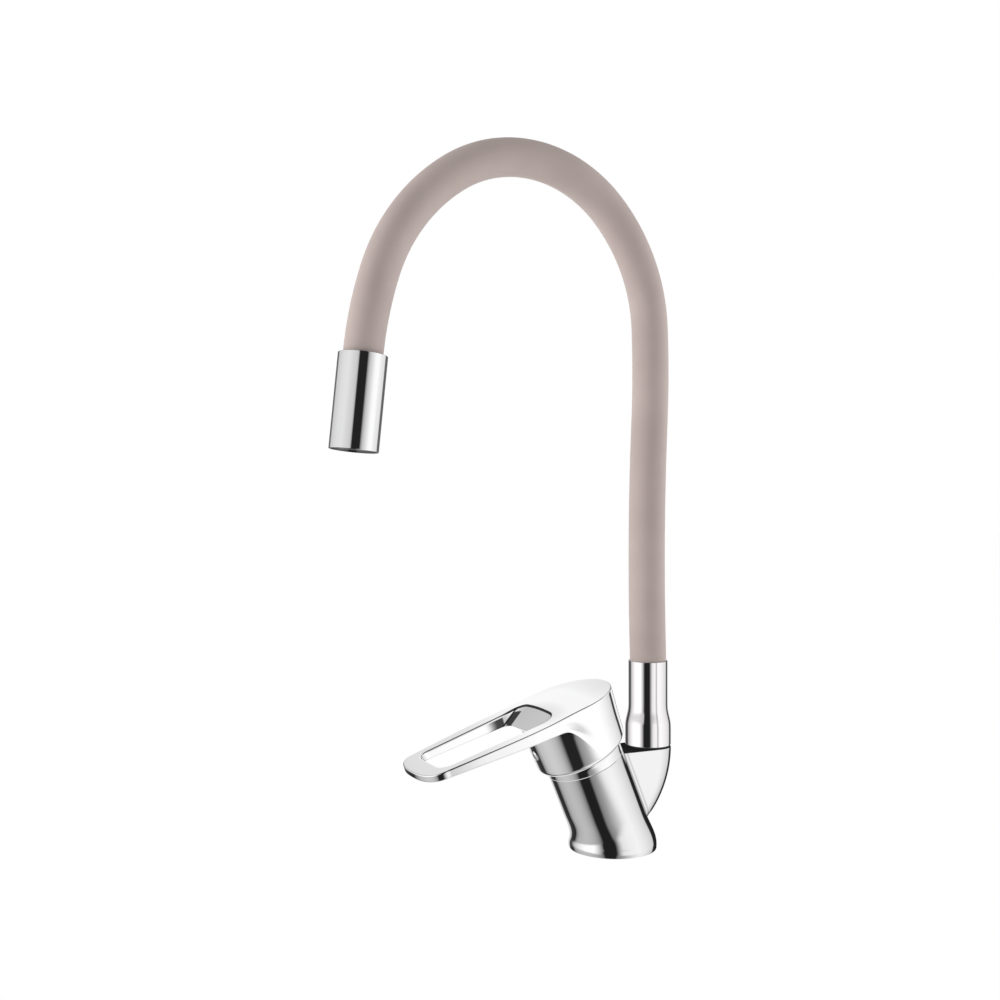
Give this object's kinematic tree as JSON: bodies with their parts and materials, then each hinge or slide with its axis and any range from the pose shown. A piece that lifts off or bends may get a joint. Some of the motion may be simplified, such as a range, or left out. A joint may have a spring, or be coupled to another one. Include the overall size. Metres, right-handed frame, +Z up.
{
  "type": "kitchen faucet",
  "caption": "Single-lever kitchen faucet with a leaning barrel, an open loop lever and a bendable silicone gooseneck spout",
  "frame": {"origin": "centre of the round foot's underside, on the deck", "axes": "+Z up from the deck, -Y towards the user, where the lever and the spout's outlet point, +X to the right seen from the back"},
  "size_m": [0.0572, 0.2101, 0.4056],
  "materials": {
    "chrome": "mirror-polished chrome plate on cast brass",
    "polished_steel": "polished stainless steel",
    "brass": "turned brass",
    "stainless_wire": "plain stainless steel",
    "taupe_silicone": "matte silicone, warm taupe",
    "black_rubber": "moulded seal rubber",
    "white_ceramic": "lapped alumina",
    "grey_nylon": "moulded nylon",
    "white_acetal": "moulded acetal",
    "milky_tube": "extruded polyethylene"
  },
  "bodies": {
    "tap": {"tap_body": "chrome", "base_gasket": "black_rubber", "cartridge_housing": "grey_nylon", "hot_inlet_seal": "black_rubber", "cold_inlet_seal": "black_rubber", "outlet_seal": "black_rubber", "fixed_ceramic_disc": "white_ceramic", "cartridge_nut": "brass", "dome_cover": "chrome"},
    "turn": {"stem_rotor": "white_acetal", "stem_pin": "stainless_wire"},
    "handle": {"lever": "chrome", "lever_stem": "stainless_wire", "lever_set_screw": "stainless_wire", "index_plug": "polished_steel"},
    "valve": {"moving_ceramic_disc": "white_ceramic", "disc_carrier": "white_acetal"},
    "spout_base": {"slip_washer": "grey_nylon", "spout_nipple": "brass", "lower_o_ring": "black_rubber", "upper_o_ring": "black_rubber", "retaining_clip": "stainless_wire", "coupling_sleeve": "polished_steel", "gooseneck_lower_collar": "brass", "hose_sleeve_0": "taupe_silicone", "gooseneck_core": "stainless_wire", "water_tube": "milky_tube"},
    "riser": {"hose_sleeve_1": "taupe_silicone"},
    "arch_start": {"hose_sleeve_2": "taupe_silicone"},
    "arch_rise": {"hose_sleeve_3": "taupe_silicone"},
    "arch_top": {"hose_sleeve_4": "taupe_silicone"},
    "arch_fall": {"hose_sleeve_5": "taupe_silicone"},
    "spray_head": {"hose_sleeve_6": "taupe_silicone", "nozzle_shell": "chrome", "gooseneck_head_collar": "brass", "head_washer": "black_rubber", "aerator_seal": "black_rubber", "aerator_housing": "polished_steel", "inlet_screen": "stainless_wire", "aerator_insert": "white_acetal", "outlet_mesh": "stainless_wire"}
  },
  "joints": [
    {"name": "lever_turn", "type": "hinge", "parent": "tap", "child": "turn", "pos_m": [0, -0.01957, 0.05447], "axis": [0, -0.3843, 0.9232], "range_deg": [-50, 50]},
    {"name": "lever_lift", "type": "hinge", "parent": "turn", "child": "handle", "pos_m": [0, -0.01957, 0.05447], "axis": [-1, 0, 0], "range_deg": [0, 22]},
    {"name": "disc_slide", "type": "slide", "parent": "turn", "child": "valve", "axis": [0, -0.9232, -0.3843], "range_m": [0, 0.00547]},
    {"name": "spout_swivel", "type": "hinge", "parent": "tap", "child": "spout_base", "pos_m": [0, 0.02465, 0.0568], "axis": [0, 0, 1], "continuous": true},
    {"name": "spout_sway", "type": "hinge", "parent": "spout_base", "child": "riser", "pos_m": [0, 0.0238, 0.15719], "axis": [0, 1, 0], "range_deg": [-20, 20], "deforming": ["gooseneck_core", "water_tube"]},
    {"name": "spout_lean", "type": "hinge", "parent": "riser", "child": "arch_start", "pos_m": [0, 0.02539, 0.24183], "axis": [1, 0, 0], "range_deg": [-15, 18], "deforming": ["gooseneck_core", "water_tube"]},
    {"name": "arch_bend_1", "type": "hinge", "parent": "arch_start", "child": "arch_rise", "pos_m": [0, 0.01957, 0.33568], "axis": [1, 0, 0], "range_deg": [-11, 9], "deforming": ["gooseneck_core", "water_tube"]},
    {"name": "arch_bend_2", "type": "hinge", "parent": "arch_rise", "child": "arch_top", "pos_m": [0, -0.0161, 0.38244], "axis": [1, 0, 0], "range_deg": [-11, 9], "deforming": ["gooseneck_core", "water_tube"]},
    {"name": "arch_bend_3", "type": "hinge", "parent": "arch_top", "child": "arch_fall", "pos_m": [0, -0.0733, 0.39341], "axis": [1, 0, 0], "range_deg": [-11, 9], "deforming": ["gooseneck_core", "water_tube"]},
    {"name": "arch_bend_4", "type": "hinge", "parent": "arch_fall", "child": "spray_head", "pos_m": [0, -0.12294, 0.36213], "axis": [1, 0, 0], "range_deg": [-11, 9], "deforming": ["gooseneck_core", "water_tube"]}
  ],
  "couplings": [
    {"joint": "arch_bend_2", "follows": "arch_bend_1", "ratio": 1},
    {"joint": "arch_bend_3", "follows": "arch_bend_1", "ratio": 1},
    {"joint": "arch_bend_4", "follows": "arch_bend_1", "ratio": 1},
    {"joint": "disc_slide", "follows": "lever_lift", "m_per_rad": 0.014234}
  ]
}
